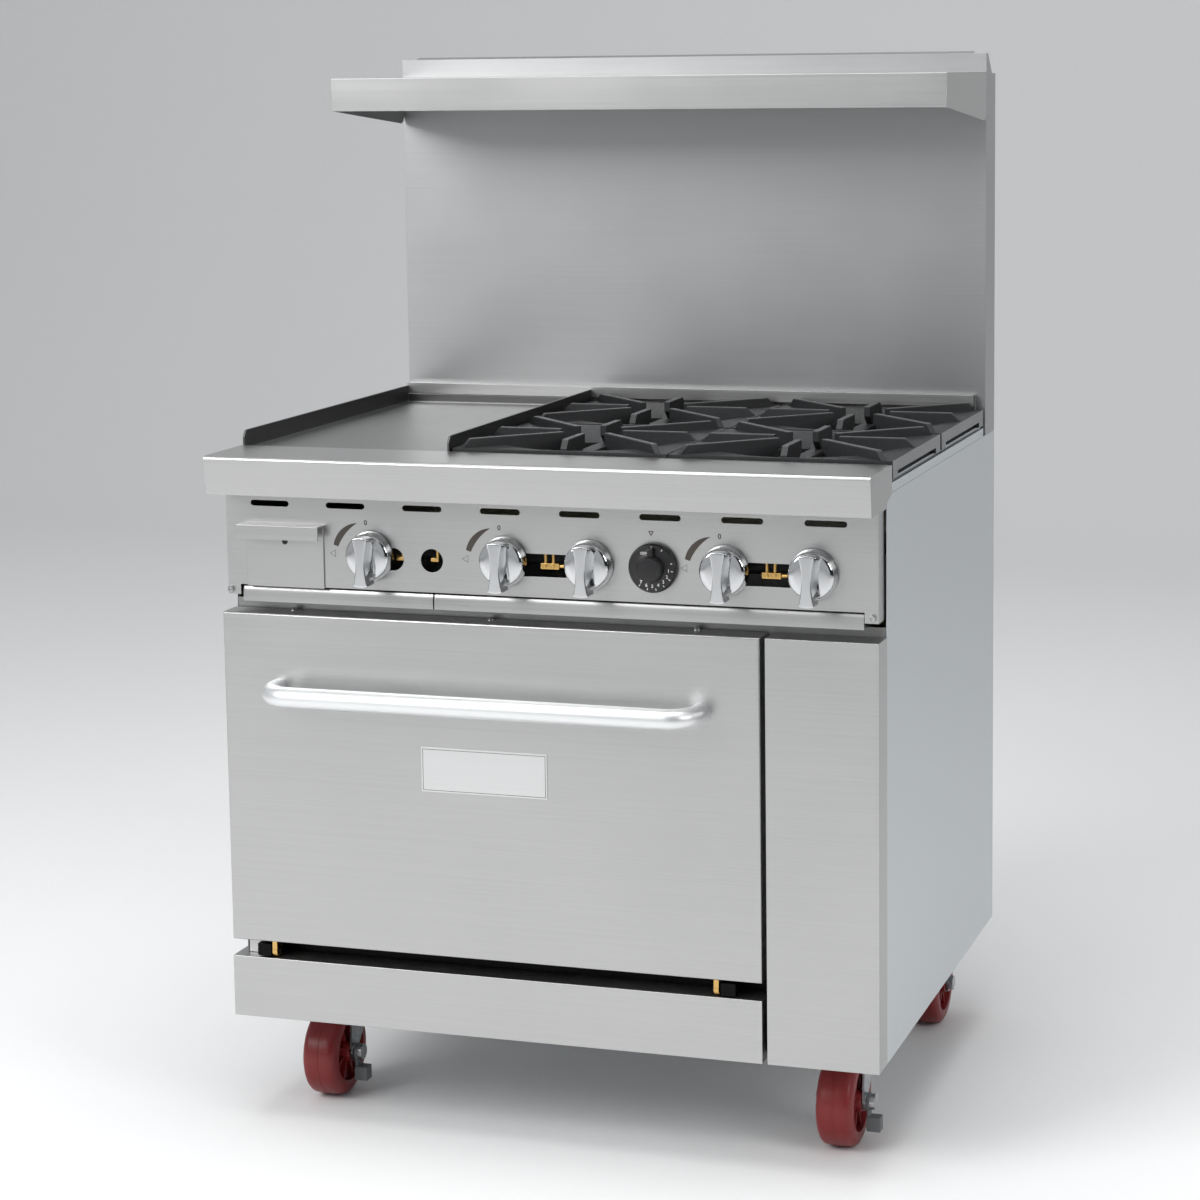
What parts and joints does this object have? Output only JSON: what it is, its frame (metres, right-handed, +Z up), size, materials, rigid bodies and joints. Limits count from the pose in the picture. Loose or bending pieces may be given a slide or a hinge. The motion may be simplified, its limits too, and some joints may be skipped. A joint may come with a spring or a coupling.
{
  "type": "commercial gas range",
  "caption": "Stainless restaurant gas range on swivel casters, with a griddle, open burners on lift-off grates, a drop-down oven door, a backguard and an overhead shelf.",
  "frame": {"origin": "on the floor, below the centre of the bounding box", "axes": "+Z up, +X to the right-hand side seen from the front, -Y towards the front"},
  "size_m": [0.914, 0.8056, 1.463],
  "materials": {
    "stainless": "horizontally brushed",
    "side_stainless": "satin, slightly cool",
    "galvanised": "dull zinc-coated sheet",
    "griddle_steel": "ground plate, a little darkened",
    "cast_iron": "rough black",
    "grate_iron": "rough casting with worn top edges",
    "black_enamel": "satin enamel",
    "black_pipe": "black pipe paint",
    "chrome": "bright",
    "polished_tube": "polished tube",
    "brass": "machined",
    "zinc": "bright zinc plate",
    "black_plastic": "satin",
    "red_tread": "satin polyurethane",
    "grey_pad": "matt",
    "mineral_wool": "fibrous board"
  },
  "bodies": {
    "range_body": {"side_panel_left": "side_stainless", "side_panel_right": "side_stainless", "rear_panel": "galvanised", "base_frame": "galvanised", "front_frame": "stainless", "kick_panel": "stainless", "service_cover": "stainless", "control_panel": "stainless", "landing_ledge": "stainless", "cooktop_frame": "side_stainless", "flue_riser": "stainless", "backguard_panel": "stainless", "backguard_back": "galvanised", "overhead_shelf": "stainless", "griddle_plate": "griddle_steel", "oven_liner": "black_enamel", "oven_insulation": "mineral_wool", "oven_deck": "black_enamel", "oven_rack": "chrome", "oven_burner": "cast_iron", "gas_manifold": "black_pipe", "thermostat_body": "zinc", "griddle_burner": "cast_iron", "valve_griddle": "brass", "valve_left_rear": "brass", "valve_left_front": "brass", "valve_right_rear": "brass", "valve_right_front": "brass", "burner_left_front": "cast_iron", "burner_left_rear": "cast_iron", "burner_right_front": "cast_iron", "burner_right_rear": "cast_iron"},
    "oven_door": {"door_panel": "stainless", "door_liner": "galvanised", "door_handle": "polished_tube", "hinge_arm_left": "brass", "hinge_arm_right": "brass"},
    "knob_griddle": {"knob_griddle": "chrome"},
    "knob_left_rear": {"knob_left_rear": "chrome"},
    "knob_left_front": {"knob_left_front": "chrome"},
    "knob_right_rear": {"knob_right_rear": "chrome"},
    "knob_right_front": {"knob_right_front": "chrome"},
    "thermostat_dial": {"thermostat_dial": "black_plastic"},
    "grease_drawer": {"grease_drawer": "stainless"},
    "crumb_tray_left": {"crumb_tray_left": "stainless"},
    "crumb_tray_right": {"crumb_tray_right": "stainless"},
    "grate_left_front": {"grate_left_front": "grate_iron"},
    "grate_left_rear": {"grate_left_rear": "grate_iron"},
    "grate_right_front": {"grate_right_front": "grate_iron"},
    "grate_right_rear": {"grate_right_rear": "grate_iron"},
    "caster_front_left": {"caster_fork_front_left": "zinc"},
    "wheel_front_left": {"caster_wheel_front_left": "red_tread"},
    "caster_front_right": {"caster_fork_front_right": "zinc"},
    "wheel_front_right": {"caster_wheel_front_right": "red_tread"},
    "caster_rear_left": {"caster_fork_rear_left": "zinc"},
    "wheel_rear_left": {"caster_wheel_rear_left": "red_tread"},
    "caster_rear_right": {"caster_fork_rear_right": "zinc"},
    "wheel_rear_right": {"caster_wheel_rear_right": "red_tread"},
    "brake_front_left": {"caster_brake_front_left": "grey_pad"},
    "brake_front_right": {"caster_brake_front_right": "grey_pad"}
  },
  "joints": [
    {"name": "oven_door_hinge", "type": "hinge", "parent": "range_body", "child": "oven_door", "pos_m": [-0.0785, -0.33017, 0.247], "axis": [1, 0, 0], "range_deg": [0, 90]},
    {"name": "knob_griddle_turn", "type": "hinge", "parent": "range_body", "child": "knob_griddle", "pos_m": [-0.24175, -0.32817, 0.802], "axis": [0, -1, 0], "range_deg": [0, 90]},
    {"name": "knob_left_rear_turn", "type": "hinge", "parent": "range_body", "child": "knob_left_rear", "pos_m": [-0.05141, -0.32817, 0.802], "axis": [0, -1, 0], "range_deg": [0, 90]},
    {"name": "knob_left_front_turn", "type": "hinge", "parent": "range_body", "child": "knob_left_front", "pos_m": [0.067, -0.32817, 0.802], "axis": [0, -1, 0], "range_deg": [0, 90]},
    {"name": "knob_right_rear_turn", "type": "hinge", "parent": "range_body", "child": "knob_right_rear", "pos_m": [0.25135, -0.32817, 0.802], "axis": [0, -1, 0], "range_deg": [0, 90]},
    {"name": "knob_right_front_turn", "type": "hinge", "parent": "range_body", "child": "knob_right_front", "pos_m": [0.3688, -0.32817, 0.802], "axis": [0, -1, 0], "range_deg": [0, 90]},
    {"name": "thermostat_turn", "type": "hinge", "parent": "range_body", "child": "thermostat_dial", "pos_m": [0.15492, -0.32817, 0.802], "axis": [0, -1, 0], "range_deg": [0, 240]},
    {"name": "grease_drawer_slide", "type": "slide", "parent": "range_body", "child": "grease_drawer", "axis": [0, -1, 0], "range_m": [0, 0.35]},
    {"name": "crumb_tray_left_slide", "type": "slide", "parent": "range_body", "child": "crumb_tray_left", "axis": [0, -1, 0], "range_m": [0, 0.55]},
    {"name": "crumb_tray_right_slide", "type": "slide", "parent": "range_body", "child": "crumb_tray_right", "axis": [0, -1, 0], "range_m": [0, 0.55]},
    {"name": "grate_left_front_lift", "type": "slide", "parent": "range_body", "child": "grate_left_front", "axis": [0, 0, 1], "range_m": [0, 0.15]},
    {"name": "grate_left_rear_lift", "type": "slide", "parent": "range_body", "child": "grate_left_rear", "axis": [0, 0, 1], "range_m": [0, 0.15]},
    {"name": "grate_right_front_lift", "type": "slide", "parent": "range_body", "child": "grate_right_front", "axis": [0, 0, 1], "range_m": [0, 0.15]},
    {"name": "grate_right_rear_lift", "type": "slide", "parent": "range_body", "child": "grate_right_rear", "axis": [0, 0, 1], "range_m": [0, 0.15]},
    {"name": "caster_front_left_swivel", "type": "hinge", "parent": "range_body", "child": "caster_front_left", "pos_m": [-0.373, -0.15818, 0.136], "axis": [0, 0, 1], "continuous": true},
    {"name": "wheel_front_left_roll", "type": "hinge", "parent": "caster_front_left", "child": "wheel_front_left", "pos_m": [-0.373, -0.19618, 0.0631], "axis": [1, 0, 0], "continuous": true},
    {"name": "caster_front_right_swivel", "type": "hinge", "parent": "range_body", "child": "caster_front_right", "pos_m": [0.373, -0.15818, 0.136], "axis": [0, 0, 1], "continuous": true},
    {"name": "wheel_front_right_roll", "type": "hinge", "parent": "caster_front_right", "child": "wheel_front_right", "pos_m": [0.373, -0.19618, 0.0631], "axis": [1, 0, 0], "continuous": true},
    {"name": "caster_rear_left_swivel", "type": "hinge", "parent": "range_body", "child": "caster_rear_left", "pos_m": [-0.373, 0.29983, 0.136], "axis": [0, 0, 1], "continuous": true},
    {"name": "wheel_rear_left_roll", "type": "hinge", "parent": "caster_rear_left", "child": "wheel_rear_left", "pos_m": [-0.373, 0.33782, 0.0631], "axis": [1, 0, 0], "continuous": true},
    {"name": "caster_rear_right_swivel", "type": "hinge", "parent": "range_body", "child": "caster_rear_right", "pos_m": [0.373, 0.29983, 0.136], "axis": [0, 0, 1], "continuous": true},
    {"name": "wheel_rear_right_roll", "type": "hinge", "parent": "caster_rear_right", "child": "wheel_rear_right", "pos_m": [0.373, 0.33782, 0.0631], "axis": [1, 0, 0], "continuous": true},
    {"name": "brake_front_left_pedal", "type": "hinge", "parent": "caster_front_left", "child": "brake_front_left", "pos_m": [-0.373, -0.19618, 0.0631], "axis": [1, 0, 0], "range_deg": [-20, 0]},
    {"name": "brake_front_right_pedal", "type": "hinge", "parent": "caster_front_right", "child": "brake_front_right", "pos_m": [0.373, -0.19618, 0.0631], "axis": [1, 0, 0], "range_deg": [-20, 0]}
  ]
}
